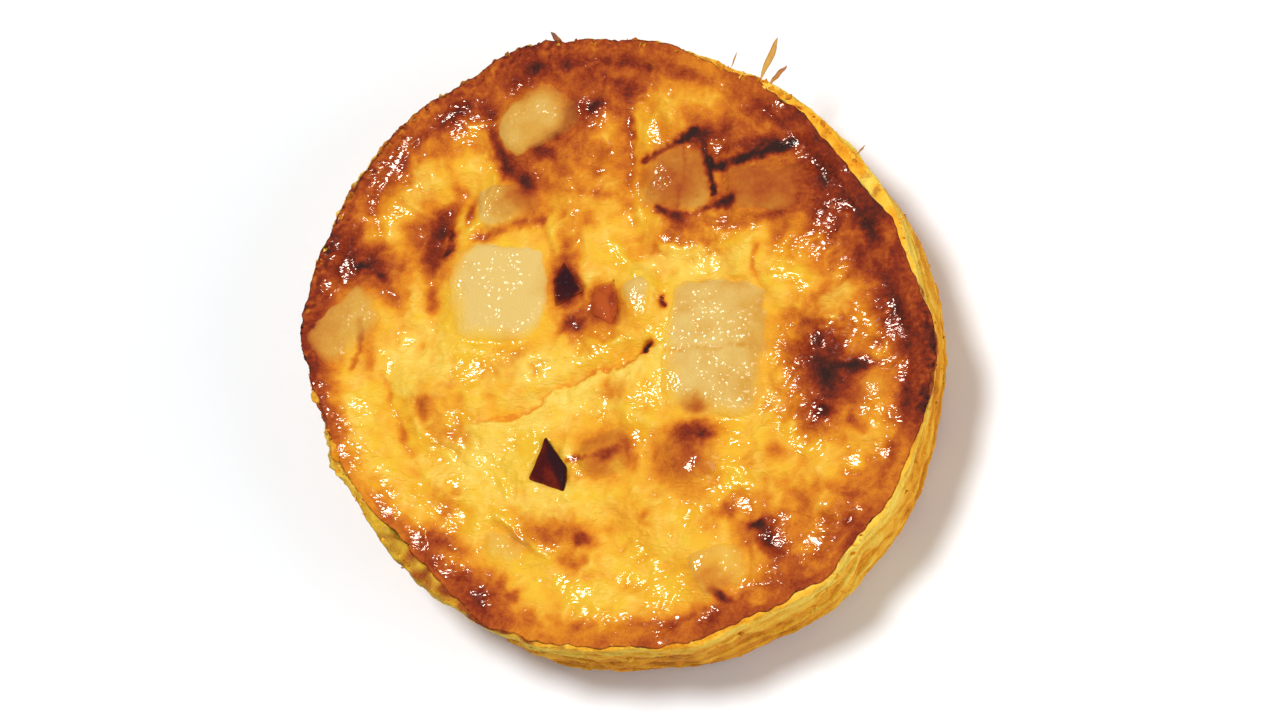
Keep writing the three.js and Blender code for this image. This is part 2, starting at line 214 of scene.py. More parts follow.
def solid_of(node):
    """A node's solid, for asking where it lies."""
    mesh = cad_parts[node].data
    return BVHTree.FromPolygons([v.co for v in mesh.vertices], [p.vertices for p in mesh.polygons])


def met_at(solid, start, way, limit):
    """How far a straight line goes until it meets a solid, in millimetres, or not a number if it misses."""
    far = solid.ray_cast(Vector(start) * MM, Vector(way), limit * MM)[3]
    return float("nan") if far is None else far / MM


def height_of(solid, x, y):
    """How high a solid reaches over a place, in millimetres, or not a number where it doesn't."""
    return ABOVE - met_at(solid, (x, y, ABOVE), (0, 0, -1), ABOVE)


def grid_piece(name, steps, rows):
    """A flat grid as a new piece, with the column and the row of each of its points."""
    bpy.ops.mesh.primitive_grid_add(x_subdivisions=steps, y_subdivisions=rows, size=2)
    piece = bpy.context.object
    piece.name = name
    places = np.empty(len(piece.data.vertices) * 3)
    piece.data.vertices.foreach_get("co", places)
    places = (places.reshape(-1, 3) + 1) / 2
    return piece, np.rint(places[:, 0] * steps).astype(int), np.rint(places[:, 1] * rows).astype(int)


def lay_points(piece, points):
    """Puts a piece's points at their places, given in millimetres."""
    piece.data.vertices.foreach_set("co", (points * MM).ravel())
    piece.data.update()


def close_seams():
    """Joins the points of the newest piece that lie in one place, and smooths it with its faces outwards."""
    bpy.ops.object.mode_set(mode="EDIT")
    bpy.ops.mesh.select_all(action="SELECT")
    bpy.ops.mesh.remove_doubles(threshold=SAME_POINT)
    bpy.ops.mesh.normals_make_consistent(inside=False)
    bpy.ops.object.mode_set(mode="OBJECT")
    bpy.ops.object.shade_smooth()


def note(piece, name, values):
    """Keeps a value at each point of a piece, for its material."""
    piece.data.attributes.new(name, "FLOAT", "POINT").data.foreach_set("value", values.astype(np.float32))


def grain(points, size, seed, stretch=(1, 1, 1)):
    """Noise from about -1 to 1 at each point, in lumps of a size in millimetres."""
    return np.array([noise.noise(p) for p in (points * stretch / size + seed * 7.31).tolist()])


def middle_of(ring, reach):
    """The middle value among each value's neighbours round the case, which passes over gaps and blades."""
    return np.nanmedian([np.roll(ring, k) for k in range(-reach, reach + 1)], axis=0)


def bell(angle, at, width):
    """1 at one direction round the case, in degrees, falling to 0 on both sides of it."""
    away = (angle - at + 180) % 360 - 180
    return np.exp(-((away / width) ** 2))


crust_solid = solid_of("crust")
turns = np.linspace(0, 2 * math.pi, CASE_STEPS, endpoint=False)
ways = np.stack([np.cos(turns), np.sin(turns), np.zeros(CASE_STEPS)], axis=1)
wall_top = middle_of(np.array([
    np.nanmax([height_of(crust_solid, *(way * r)[:2]) for r in LIP_SEARCH]) for way in ways]), EVENED)
wall_heights = 0.35 + np.linspace(0, 1, WALL_ROWS)[:, None] * (wall_top - 0.6)
wall_radii = np.array([middle_of(np.array([
    OUTSIDE - met_at(crust_solid, way * OUTSIDE + (0, 0, z), -way, FELT)
    for way, z in zip(ways, row)]), EVENED) for row in wall_heights])
lip_radii = middle_of(np.array([
    WITHIN + met_at(crust_solid, way * WITHIN + (0, 0, z - 0.7), way, FELT)
    for way, z in zip(ways, wall_top)]), EVENED)

radii = [share * wall_radii[0] for share in BASE_SHARES]
heights = [np.zeros(CASE_STEPS) for _ in BASE_SHARES]
radii += list(wall_radii)
heights += list(wall_heights)
for k in range(LIP_ROWS):
    share = (k + 0.5) / LIP_ROWS
    radii.append(wall_radii[-1] + (lip_radii - wall_radii[-1]) * share)
    heights.append(wall_top - 0.25 * (2 * share - 1) ** 2)
for drop, inwards in INSIDE:
    radii.append(lip_radii - inwards)
    heights.append(np.maximum(wall_top - drop, FLOOR_TOP))
radii.append(np.zeros(CASE_STEPS))
heights.append(np.full(CASE_STEPS, FLOOR_TOP))

crust, column, row = grid_piece("pastry_case", CASE_STEPS, len(radii) - 1)
column %= CASE_STEPS
radius = np.array(radii)[row, column]
height = np.array(heights)[row, column]
angle = np.degrees(turns)[column]
way = ways[column]
spot = way * radius[:, None] + np.stack([height * 0, height * 0, height], axis=1)
first_wall = len(BASE_SHARES)
on_wall = np.clip((row - first_wall) / 9, 0, 1) * (row < first_wall + WALL_ROWS + LIP_ROWS)
on_lip = np.clip(1 - abs(row - first_wall - WALL_ROWS - 1) / 5, 0, 1)
share_up = height / wall_top[column]
round_wall = spot * (1, 1, 0)
lapped = share_up * LAYERS + grain(round_wall, 18, 11) * 1.2 + grain(round_wall, 5, 12) * 0.16
each_layer = round_wall + np.floor(lapped)[:, None] * (0, 0, 5.3)
lap_out = lapped % 1 - 0.5
ledges = LAYER_STEP * lap_out * np.clip(0.6 + 1.6 * grain(each_layer, 7, 80), 0.1, 1.5)
lumps = grain(spot, 6, 1) * 0.35 + grain(spot, 3, 2) * 0.4
layers = grain(spot, 2.2, 3, (0.35, 0.35, 1.7)) * 0.22 + grain(spot, 0.9, 4, (0.5, 0.5, 1.6)) * 0.16
parted = grain(spot, 3.4, 16, (0.22, 0.22, 1)) + grain(spot, 1.4, 17) * 0.1
parted = np.exp(-((parted / 0.09) ** 2)) * np.clip(0.5 + grain(spot, 6, 18) * 2, 0, 1)
pits = np.maximum(grain(spot, 1.1, 5) - 0.3, 0) * 0.8
grit_relief = grain(spot, 0.7, 6) * 0.12
ragged = 0.4 + 0.9 * (bell(angle, 125, 60) + bell(angle, -140, 30)).clip(0, 1)
out = on_wall * (ledges + lumps + layers - pits + grit_relief - 0.25 * parted)
fringe = (bell(angle, 128, 40) + bell(angle, 198, 9)).clip(0, 1) * np.clip((share_up - 0.8) / 0.2, 0, 1)
flakes = grain(spot, 5, 20) + grain(spot, 1.6, 14) * 0.7 + grain(spot, 0.8, 19) * 0.6
out = out + fringe * (0.5 + flakes)
radius = radius + out
height = height + on_lip * ragged * (grain(spot, 0.9, 7) * 0.35 + grain(spot, 2.5, 8) * 0.3)
lay_points(crust, way * radius[:, None] + np.stack([height * 0, height * 0, height], axis=1))
streaks = grain(spot, 3, 15, (0.3, 0.3, 1.5))
bake_and_shade = 0.3 + 0.16 * grain(spot, 9, 9) + 0.14 * grain(spot, 2.4, 10) + 0.12 * streaks
# Painted shade and light: the pastry is coloured darker where its surface sinks in and at the foot of each
# lap, and paler where it stands out. It is also darker in the partings and towards the foot of the wall.
bake_and_shade += 0.18 * parted - 0.25 * out - 0.2 * lap_out + 0.22 * (1 - share_up)
bake_and_shade += 0.12 * bell(angle, -78, 22) - 0.15 * bell(angle, -45, 16) - 0.1 * bell(angle, 15, 15)
near_top = np.clip((share_up - 0.78) / 0.18, 0, 1)
bake_and_shade = bake_and_shade - 0.3 * np.clip((share_up - 0.6) / 0.25, 0, 1) + 0.3 * on_lip
run_down = 0.1 * bell(angle, 128, 56) + 0.08 * bell(angle, 184, 12) + 0.08 * bell(angle, -120, 16)
run_down = (run_down + 0.2 * bell(angle, -3, 10)) * (1 + 0.5 * grain(round_wall, 7, 50))
toast = np.clip((share_up - 1 + run_down) / 0.09 + 0.9 * grain(spot, 2.2, 52), 0, 1)
damp = bell(angle, -140, 28) * near_top
for name, values in (("bake_and_shade", bake_and_shade), ("toast", toast), ("damp", damp)):
    note(crust, name, values)
close_seams()

baked_pastry, shader, place = new_finish("baked_pastry")
bake_and_shade, toast, damp = (place.kept(name) for name in ("bake_and_shade", "toast", "damp"))
sand = place.specks(0.5, 3)
flour = place.specks(2.2, 4, 0.4)
tone = bake_and_shade + (sand - 0.5) * 0.35 + (flour - 0.5) * 0.4
pastry = tone.ramp((0, (0.98, 0.66, 0.09)), (0.3, (0.93, 0.45, 0.026)), (0.55, (0.76, 0.27, 0.011)),
                   (0.8, (0.46, 0.14, 0.009)), (1, (0.26, 0.06, 0.006)))
soaked = flour.between(0.3, 0.7).ramp((0, (0.4, 0.19, 0.006)), (1, (0.7, 0.46, 0.03)))
pastry = (damp * 0.85).mix(pastry, soaked)
brown = (toast + (sand - 0.5) * 0.5).between(0.25, 0.9)
toasted = flour.between(0.3, 0.7).ramp((0, (0.22, 0.032, 0.006)), (1, (0.4, 0.08, 0.01)))
brown.mix(pastry, toasted).feed(shader, "Base Color")
(DULL - damp * sand.between(0.52, 0.58) * 0.75).feed(shader, "Roughness")
shader.inputs["Specular IOR Level"].default_value = 0.25
shader.inputs["Specular Tint"].default_value = BUTTERY
(sand * 0.6 + flour).relief(0.35 * MM).feed(shader, "Normal")
crust.data.materials.append(baked_pastry)
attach(crust, "root")
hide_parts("crust")


# The custard: eggs and cream poured into the case over the potato and lardon and baked until the top
# set in a wet, wrinkled, golden skin, browned in blotches and burnt to black beside some of the dice.
# It is one piece, a grid drawn out to the lip of the case, closed below by its side and its base.
SKIN_STEPS = 300
# The skin's edge: how far it runs past the lip, how far it may hang over the wall, and its turned-in hem.
SPILL = 0.5
HANG = 0.2
HEM_DROP = 0.7
HEM_TAPER = 0.965
# The skin lies a little below the dice's tops, evens out their crowns, and sags round them no further than
# a film's depth. Readings of the solid below the lowest top are its side and not its top,
# and noise runs round the rim at one radius.
DICE_SINK = 0.25
CROWN = 3
FILM_DROP = 0.5
LOWEST_TOP = 27
RIM_ROUND = 60
CUSTARD_FLOOR = 4.4
CUSTARD_TAPER = 0.9
POTATO = [f"potato_{k}" for k in range(1, 14)]
LARDONS = ["lardon_1", "lardon_2", "lardon_3"]

# Browning fades from a dark heart into a wide golden glow: the heart's share, and how flat the glow is.
HEART = 0.68
GLOW = 0.32
# The browned border: direction in degrees, how far in it reaches in millimetres, and how dark it is.
BORDER = (
    (-175, 3.8, 0.64), (-165, 3.4, 0.54), (-150, 4, 0.42), (-138, 5, 0.5), (-128, 7, 0.66),
    (-118, 5.5, 0.72), (-108, 3.6, 0.44), (-98, 4, 0.42), (-85, 5, 0.5), (-70, 5, 0.54), (-55, 7, 0.58),
    (-42, 9, 0.5), (-33, 8, 0.5), (-20, 6, 0.52), (-10, 6.5, 0.76), (0, 7.5, 0.74), (12, 10.5, 0.68),
    (25, 16, 0.71), (38, 16, 0.72), (50, 11, 0.66), (62, 8, 0.54), (72, 6, 0.46), (80, 8, 0.6),
    (92, 10, 0.75), (105, 10, 0.76), (118, 10, 0.68), (130, 8, 0.62), (140, 6, 0.54), (150, 7, 0.6),
    (165, 7, 0.68), (180, 4.4, 0.64),
)
# Browned patches: middle, half length and half width in millimetres, turn in degrees, and how dark.
PATCHES = (
    (-17, 55.5, 3.5, 2, 0, 0.86), (-5, 48, 8, 5, 20, 0.64), (1.1, 51.4, 6, 4, 0, 0.64),
    (-4.5, 48, 3, 2, 20, 0.78), (-8, 38, 11, 9, 0, 0.5), (-14.5, 38.5, 3.5, 1.8, 0, 0.66),
    (-18, 32, 4, 6, -25, 0.58), (-34, 46, 7, 4, 35, 0.66), (-44, 36, 4, 7, -15, 0.46),
    (-43, 37, 1.5, 3.2, -10, 0.56), (-9, 25, 6, 4, 0, 0.36), (-38, 23.5, 4.5, 7, -15, 0.62),
    (-36, 17, 2.5, 3.4, 0, 0.52), (-37.5, 11, 1.6, 4, 5, 0.28), (-30, 27.5, 1.2, 2.4, -15, 0.6),
    (-50, 17, 9, 5, -15, 0.76), (-46, 11, 6, 3, -10, 0.44), (-51, 17, 2.2, 1, -15, 0.9),
    (-47.5, 14.5, 2.4, 1.4, -20, 0.84), (-61, -3.1, 2.6, 4.6, 18, 0.66), (-60, 11, 3, 3, 60, 0.6),
    (-9.6, 12.5, 3.2, 6.4, 0, 0.8), (-8.5, 4.5, 3, 2.6, 0, 0.68), (-10.5, 19, 2, 3, 0, 0.5),
    (-3, 7.5, 4.5, 6, 0, 0.56), (22, 43, 14, 5.5, 0, 0.56), (17, 41, 4, 2.5, 20, 0.72),
    (32.5, 39.3, 3.4, 1.8, 0, 0.97), (26, 39.2, 8, 2.4, 8, 0.78), (12, 33, 8, 9, 0, 0.55),
    (28, 31, 10, 6, 0, 0.6), (40.9, 33.2, 8, 9.5, 0, 0.62), (48.2, 24.8, 7, 9, 0, 0.62),
    (52, 24, 4, 4, 0, 0.8), (33, 20, 6, 5, 0, 0.36), (18, 24, 11, 3.4, 10, 0.58),
    (12, 24.3, 3.4, 2.1, -10, 0.86), (21.5, 27.8, 2, 0.8, 10, 0.97), (31, 24.8, 5, 1.3, 3, 0.62),
    (1.8, 43.7, 2, 6, 0, 0.42), (56.7, 1, 7, 12, 0, 0.62), (54, 13.3, 6, 8, 0, 0.52),
    (8, 20, 5, 4, 0, 0.42), (16, 20.6, 6, 2.6, 5, 0.48), (-50, 0, 2.2, 8, 0, 0.34),
    (42, -6, 9, 11, 0, 0.74), (41, -1, 5.5, 5, 0, 0.77), (43, -8, 4.5, 7, 0, 0.77),
    (47.5, -5.2, 5, 1.8, 8, 0.98), (41, -14, 5, 4, 0, 0.74), (33, -9, 3, 6, 0, 0.24),
    (62, -12, 2.4, 5, 0, 0.8), (48, -17, 9, 4, 20, 0.42), (46, -13, 5, 3, 10, 0.5),
    (41, -31, 6, 4, 25, 0.42), (34, -43.5, 4, 4, 0, 0.56), (45, -36, 9, 8, -45, 0.38),
    (40, -37, 13, 9, -40, 0.4), (50, -30, 5, 4, -50, 0.44), (32, -41, 6, 9, 15, 0.58),
    (31, -38.5, 3, 4, 20, 0.64), (29, -36.3, 2.4, 1.1, -10, 0.98), (22.5, -50, 3.5, 1.3, -32, 0.84),
    (14.3, -55.7, 11, 3, 3, 0.52), (20, -47, 5, 4, 0, 0.4), (16.5, -12.4, 2, 1.7, 0, 0.68),
    (15.5, -18, 5, 2.7, 8, 0.8), (18.5, -18.3, 2, 1.8, 0, 0.84), (15, -23, 6, 6, 0, 0.54),
    (23, -33, 5, 2, 30, 0.42), (-2, -19.6, 6.5, 5.5, 15, 0.36), (3, -20.6, 1.6, 4.4, 15, 0.5),
    (-0.5, -21.8, 3.6, 1.8, 17, 0.68), (-3, -25, 5, 3, 0, 0.44), (16, -20, 5, 3, 0, 0.6),
    (0.5, -9, 3.4, 2.6, 0, 0.36), (6.5, -35.5, 5, 4, 0, 0.36), (31, -22.5, 5, 3, 0, 0.36),
    (-12, -37.5, 8, 3.5, 0, 0.5), (-6.3, -38.6, 2.4, 1.7, 0, 0.62), (-7, -42.5, 5, 3.4, 0, 0.38),
    (-44.8, -32.9, 6, 2.4, -55, 0.46), (-36.1, -38.8, 3.8, 3.2, -40, 0.56), (-16.5, 28, 4, 4, 0, 0.44),
    (15, 48, 6, 5, 0, 0.26), (-8, 32, 7, 6, 0, 0.38), (-37, 38, 9, 7, 30, 0.3),
    (-26.1, -49.2, 8.5, 3.4, -46, 0.66), (-32.8, -30.3, 3.2, 3.4, 0, 0.46), (-37.6, -11.7, 4, 4.6, 0, 0.46),
    (-37.8, -12.2, 2.4, 2.8, 0, 0.5), (-33.5, -17.2, 4, 2.6, -25, 0.38), (-19, -49.5, 2.5, 1.2, 0, 0.5),
    (-20, -3, 12, 4, 25, 0.2), (0, 30, 10, 8, 0, 0.3),
)
# Browned and burnt lines, and painted shade in two slits: half width, how dark, and the points that each
# follows.
LINES = (
    (2.0, 0.78, ((-27, 49), (-26, 44), (-24, 39), (-21, 35), (-18, 32))),
    (2.4, 0.58, ((-9, 50), (-11, 44), (-16, 39.5), (-20, 37))), (1.4, 0.5, ((-11, 30.6), (-2, 30))),
    (1.3, 0.58, ((-28, 22), (-22, 23.5), (-15, 25.5))),
    (0.9, 0.9, ((-34.5, 18.5), (-33.5, 20.5), (-33.5, 23))),
    (0.8, 0.82, ((5, 36.6), (8.5, 38.6), (12, 40.2))), (1.1, 0.94, ((12, 40.2), (15.7, 42))),
    (1.3, 1.02, ((18.2, 36.5), (19, 34.8), (22, 35.4), (26, 36.6), (30, 37.8), (34.8, 39.5))),
    (0.8, 0.95, ((17.4, 39.5), (18.6, 34), (19.5, 29.5))), (1.5, 0.98, ((20, 27.2), (23, 27.6))),
    (0.9, 0.78, ((8.3, 27), (10.7, 25.3), (14, 25.4), (20, 27))),
    (0.6, 0.5, ((13, 41), (13.6, 34), (12, 26.5))), (0.7, 0.58, ((-9, -23), (-3, -22), (1.5, -20.5))),
    (0.8, 0.52, ((-51.5, 6), (-51.5, 0), (-53, -4))), (0.4, 0.3, ((10.5, -1.6), (18, -1.4), (27, -0.6))),
    # Painted shade: these two dark lines lie in the two narrow slits of the skin.
    (0.6, 0.8, ((9.2, 9), (9.8, 7.4))), (0.6, 0.85, ((6.2, -1.4), (7.6, 0.2))),
)
# Paler places: middle, two half widths and how pale.
PALE = (
    (-9.2, -22.4, 1.3, 2.4, 1.2), (-14.8, -27, 1.2, 1.5, 1), (-40, -2, 10, 8, 0.8), (-28, -22, 10, 8, 0.7),
    (-12, -30, 9, 5, 0.7), (-10, -11, 12, 2.5, 0.9), (-8, -2, 10, 3, 0.5), (6, -12, 5, 6, 0.3),
    (15, 16, 13, 3.5, 0.95), (-40, 33, 5, 5, 0.6), (30, -12, 5, 5, 0.6), (-20, -52, 6, 3, 0.3),
    (-15, -5, 9, 4, 0.9), (-50.7, -13.2, 4, 9, 0.5), (43.9, 8.7, 4.5, 4, 0.9),
)
# Creases: depth, half width and the points that each follows; a negative depth raises a ridge.
CREASES = (
    (0.35, 0.8, ((-47.4, -4.7), (-45.1, -8.8), (-43.4, -14.8), (-42.4, -18.4), (-40.8, -20.8))),
    (0.25, 2, ((-48.8, -4.9), (-46.6, -9.6), (-44.8, -15.4))),
    (-0.35, 0.7, ((3.4, 45.8), (3.7, 32.2), (4.6, 24.9))),
    (0.6, 2.6, ((-32, 30), (-36, 22), (-38, 16), (-37, 9))),
    (0.2, 1.6, ((1.6, 47.9), (1.9, 35.4), (2.5, 23.9))), (0.9, 0.5, ((6.2, -1.4), (7.6, 0.2))),
    (0.9, 0.5, ((9.2, 9.2), (9.8, 7.2))), (0.5, 0.7, ((28.5, 19), (27.5, 14), (29.5, 10))),
    (0.35, 0.6, ((-15, -41), (-24, -36))), (-0.5, 0.7, ((0, 20), (3, 16.5), (5, 14))),
    (-0.6, 0.8, ((-29.4, 23.2), (-27.4, 26.3), (-25.9, 29.7), (-24.7, 32.8))),
    (-0.4, 0.6, ((-23.4, -34.1), (-18, -37.6), (-12.4, -41.7))),
    (-0.5, 0.9, ((-34, 22), (-32.5, 25), (-31, 28))),
    (-0.4, 0.7, ((-40.5, -18.6), (-37.9, -20), (-34.7, -21), (-32.1, -21.8))),
    (-0.4, 0.7, ((5, 15), (7, 13.5), (8, 11))), (-0.3, 0.8, ((-57.5, 24), (-55, 30), (-52, 35))),
    (-0.4, 0.7, ((9, 19.6), (12, 18), (15, 18.8))), (-0.4, 0.7, ((-5, 0.4), (-2, -0.3), (1.5, 0.9))),
    (-0.4, 0.7, ((33, 18), (32.6, 14.5), (36.5, 12.2))), (-0.4, 0.8, ((40.5, 20.5), (37, 19.8), (35, 18))),
    (-0.4, 0.7, ((20.5, -26), (24, -25), (26, -27))), (-0.4, 0.7, ((-26, -22), (-23, -25), (-21, -28))),
    (-0.4, 0.7, ((-33, 46), (-29, 44.5), (-26, 45))), (-0.4, 0.7, ((42, 2), (48, 3.5), (55, 5))),
)
TEAR = ((-25, -15), (-20, -14), (-15.5, -13), (-13.5, -10.5), (-10, -8), (-5, -6.2), (1, -4.4), (7, -1.5))
# How far the skin has levelled out in its wet places, where it shines.
LEVELLED = 0.85
# The wet places: the middle and the size of each.
WET = (
    (-47.2, 34.8, 5), (-44.5, 38.8, 2.5), (-42.9, 41.2, 2), (-47, 28.8, 3), (-48, 24.4, 2),
    (-42.9, 27.8, 1.5), (-56.7, 20.2, 2.4), (-57.6, 18.2, 2), (-55.6, 16.4, 2), (-54.6, 14.6, 1.6),
    (-59.2, -7.2, 1.8), (-57.4, -9.4, 1.6), (-58.1, 12.8, 2), (-52.6, 16.8, 1.5), (-38.8, 49.4, 2.5),
    (-33.7, 48, 3), (-30.3, 44.7, 3), (-20.2, 51.4, 2.2), (-24.2, 44, 1.5), (-43, 2, 1.5), (-44.6, -4.5, 2),
    (-28.5, -4, 3.5), (-22, 0.5, 3), (-43.2, -10.7, 2), (-41.7, -14.6, 1.5), (-50.7, -11.8, 2),
    (-58, -12.4, 2), (-55.1, -11.5, 1.5), (-54.9, -15.8, 2.2), (-53.1, -20.9, 3), (-51.8, -23.9, 1.6),
    (-31, -16, 3.2), (-29.5, -18.4, 2), (-46.2, -29.6, 3.2), (-45.2, -31.9, 2.4), (-38.2, -27.9, 2.2),
    (-35.6, -31, 2), (-30.1, -34.2, 2.8), (-31.1, -27.5, 1.8), (-38.5, -38.8, 2.4), (-31.8, -44.4, 3.4),
    (-26.3, -48.6, 2.2), (-24.4, -50.6, 2), (-17.2, -19.8, 3.4), (-23, -24.5, 2), (-9, -24, 2.5),
    (4.5, -17.5, 2.5), (-5.4, -49.4, 2.6), (-9.4, -47.6, 2), (-4.2, -52.4, 2.2), (1.6, -56, 2.6),
    (11, -48.4, 4), (10.7, -57.5, 2.6), (20, -53.9, 1.8), (5.4, -47, 2), (9.3, -43, 1.6), (5.8, -41.1, 1.6),
    (17.8, -43.3, 1.8), (26.7, -47.3, 1.6), (31.1, -47.4, 2.4), (33, -40, 3), (33, -35.6, 1.4),
    (22, -26.5, 3), (15.5, -33.5, 2), (16, -25, 1.2), (4, 8, 2.5), (9, 1, 2.5), (11, -8, 2.4),
    (7, -11.5, 2.5), (-2, -12, 2), (-3, 0.3, 4), (0, 0.4, 2.5), (-33.2, 4.6, 2), (-32, 12, 2.2),
    (-30, 24.5, 1.8), (-25, 32.8, 1.8), (-15, -5, 2), (12, 18.5, 1.8), (18, 16, 2.5), (22, 22, 2.5),
    (5.6, 47, 2.8), (7.5, 42.5, 3), (-1.9, 38.1, 2.2), (-3.6, 35.3, 1.5), (-4.7, 45.8, 2.2),
    (-6.4, 48.6, 1), (7.3, 33.8, 2.2), (9.7, 31.8, 1.6), (5, 26.2, 2.8), (37.5, 39, 3), (42, 35, 3.5),
    (46, 33.5, 2), (40.8, 23.4, 2.4), (39.7, 19.8, 2.6), (35.7, 18.4, 1.8), (45.1, 26.3, 2),
    (36.6, 12.4, 2), (45.7, 13.9, 1.8), (54.6, 3.4, 3.8), (48.7, 2.6, 3), (52.2, -1, 2.2), (54.3, -4.6, 2),
    (58.6, -6.2, 2), (35.6, -2.2, 4), (46, -1.2, 2), (35, -8, 2), (34.4, -13, 4.2), (41, -14, 2),
    (39, -19.5, 3), (23, -17, 2.5), (54.5, -15.5, 2.4), (51.3, -10.1, 1.4), (50.5, -13.2, 1.6),
    (48, -24, 1.8), (54, -22, 2), (42, -36, 2.2), (48, -35, 1.5), (26.5, -31, 2.2), (41, -40, 3),
    (20, 38.5, 2), (32, 47, 2),
)
# How far the custard has run over the lip, by direction: the share of the way to its outer edge.
RUN_OVER = (
    (-175, 0.8), (-165, 0.4), (-150, 0), (-135, -0.2), (-126, -0.1), (-120, 0.3), (-113, 0.8), (-106, 0.5),
    (-95, 0.3), (-75, 0.25), (-55, 0.2), (-35, 0.2), (-22, 0.3), (-12, 0.95), (3, 0.95), (12, 0.5),
    (22, 0.1), (35, -0.1), (50, -0.1), (62, 0.2), (75, 0.5), (85, 0.7), (105, 0.9), (150, 0.95), (172, 1),
    (180, 1),
)


def patch(x, y, middle_x, middle_y, half_length, half_width, turn=0):
    """1 in the middle of an oval place, falling to 0 round it."""
    c, s = math.cos(math.radians(turn)), math.sin(math.radians(turn))
    u = ((x - middle_x) * c + (y - middle_y) * s) / half_length
    v = ((y - middle_y) * c - (x - middle_x) * s) / half_width
    return np.exp(-(u * u + v * v))


def beside(x, y, line):
    """The distance of each place from a line of points, and on which side of it the place lies."""
    away, side = np.full(x.shape, 1e9), np.zeros(x.shape)
    for (x0, y0), (x1, y1) in zip(line, line[1:]):
        long = math.hypot(x1 - x0, y1 - y0)
        t = np.clip(((x - x0) * (x1 - x0) + (y - y0) * (y1 - y0)) / long ** 2, 0, 1)
        here = np.hypot(x - x0 - t * (x1 - x0), y - y0 - t * (y1 - y0))
        nearer = here < away
        away = np.where(nearer, here, away)
        side = np.where(nearer, ((x - x0) * (y1 - y0) - (y - y0) * (x1 - x0)) / long, side)
    return away, side


def soften(values, times):
    """Spreads each value on the skin's grid over its neighbours, a number of times."""
    field = values.reshape(SKIN_STEPS + 1, SKIN_STEPS + 1)
    for _ in range(times):
        wide = np.pad(field, 1, mode="edge")
        field = (4 * field + wide[:-2, 1:-1] + wide[2:, 1:-1] + wide[1:-1, :-2] + wide[1:-1, 2:]) / 8
    return field.ravel()


def spread_out(values, where, times):
    """Values that are known at some places, carried over to the others, and how near each known one is."""
    total = soften(np.where(where, values, 0), times)
    share = soften(where.astype(float), times)
    return total / np.maximum(share, 1e-6), share


def top_of(node, x, y):
    """How high a node's solid reaches over each place, in millimetres, or not a number where it doesn't."""
    solid = solid_of(node)
    low, high = (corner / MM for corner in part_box(node))
    tops = np.full(x.shape, np.nan)
    for k in np.nonzero((x > low.x) & (x < high.x) & (y > low.y) & (y < high.y))[0]:
        tops[k] = height_of(solid, x[k], y[k])
    return tops


def on_level(x, y):
    """Places of the top as points on one level, for noise."""
    return np.stack([x, y, x * 0], axis=1)


def wander(x, y):
    """Places moved a little to and fro, so that patches and lines drawn from them are uneven."""
    level = on_level(x, y)
    return (x + grain(level, 4.5, 21) + grain(level, 1.4, 22) * 0.6,
            y + grain(level, 4.5, 23) + grain(level, 1.4, 24) * 0.6)


def glow(core):
    """How browned a place is, by how near it lies to the dark heart of a patch."""
    return HEART * core + (1 - HEART) * core ** GLOW


def browning(x, y):
    """How browned the top is at each place, from 0 for pale custard to 1 for burnt."""
    level = on_level(x, y)
    moved_x, moved_y = wander(x, y)
    turned = np.degrees(np.arctan2(y, x))
    inwards = np.interp(turned, np.degrees(turns), lip_radii, period=360) - np.hypot(moved_x, moved_y)
    at, reach, strength = np.array(BORDER).T
    strength, reach = (np.interp(turned, at, values, period=360) for values in (strength, reach))
    core = np.exp(-((np.maximum(inwards, 0) / reach) ** 2))
    total = (strength * glow(core)) ** 4
    for *oval, strength in PATCHES:
        total += (strength * glow(patch(moved_x, moved_y, *oval))) ** 4
    broken = 0.92 + 0.36 * grain(level, 2.4, 27)
    ragged_x, ragged_y = (move * 0.5 + grain(level, 0.9, seed) * 0.5
                          for move, seed in ((x + moved_x, 46), (y + moved_y, 47)))
    for half_width, strength, line in LINES:
        away = beside(ragged_x, ragged_y, line)[0] / half_width
        total += (strength * broken * (0.7 * np.exp(-(away ** 2)) + 0.3 * np.exp(-((away / 2.5) ** 2)))) ** 4
    dark = total ** 0.25
    blotches = grain(level, 9, 28) * 0.14
    speckles = (grain(level, 3, 25) * 0.12 + grain(level, 1.5, 49) * 0.06) * (1 - 0.7 * dark)
    return dark + 0.02 + blotches + speckles + grain(level, 0.9, 26) * 0.12 * dark


def wetness(x, y):
    """How wet the top is at each place, from 0 to 1, along its ridges too."""
    moved_x, moved_y = wander(x, y)
    wet = np.zeros(x.shape)
    for middle_x, middle_y, size in WET:
        wet = np.maximum(wet, patch(moved_x, moved_y, middle_x, middle_y, size, size))
    for depth, _, line in CREASES:
        if depth < 0:
            wet = np.maximum(wet, np.exp(-((beside(moved_x, moved_y, line)[0] / 1.5) ** 2)))
    return wet


